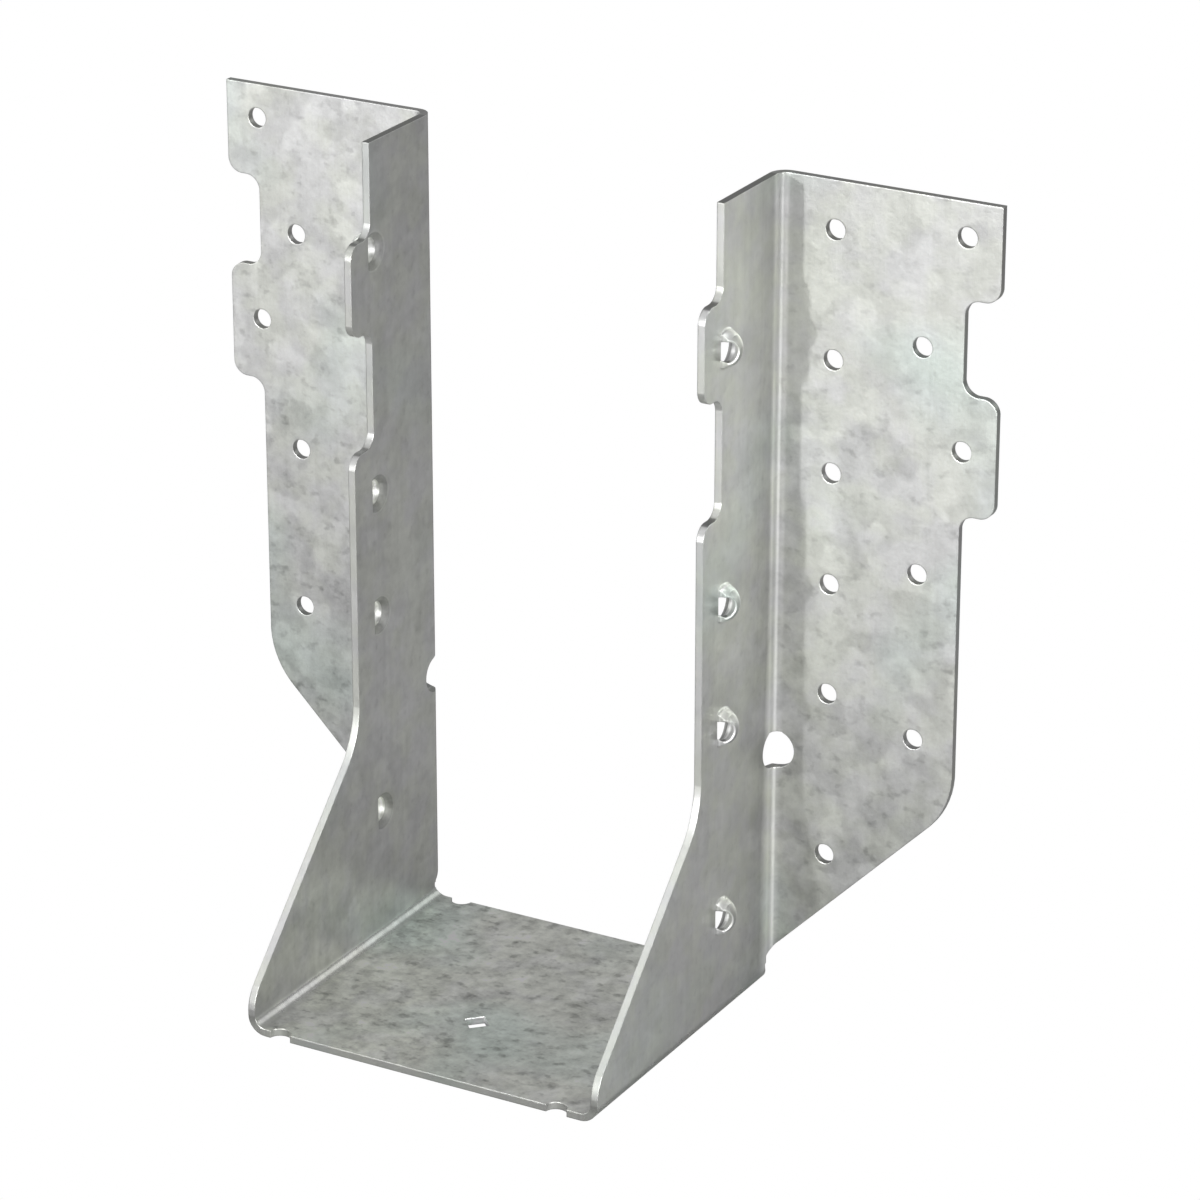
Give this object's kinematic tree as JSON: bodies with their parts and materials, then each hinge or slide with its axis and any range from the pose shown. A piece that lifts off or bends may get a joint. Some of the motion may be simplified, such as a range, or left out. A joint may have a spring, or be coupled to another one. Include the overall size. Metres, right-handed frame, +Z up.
{
  "type": "joist hanger",
  "caption": "Face-mount hanger folded from galvanised sheet: a seat, side walls with angled nail domes, and outturned flanges that nail a joist's end to a header.",
  "frame": {"origin": "middle of the footprint in plan, at the seat's underside", "axes": "+X across the joist, +Y towards the header, +Z up along the walls"},
  "size_m": [0.1792, 0.0756, 0.178],
  "materials": {
    "zinc_steel": "hot-dip galvanised, satin with soft spangle"
  },
  "bodies": {
    "root": {"hanger": "zinc_steel"}
  },
  "joints": []
}
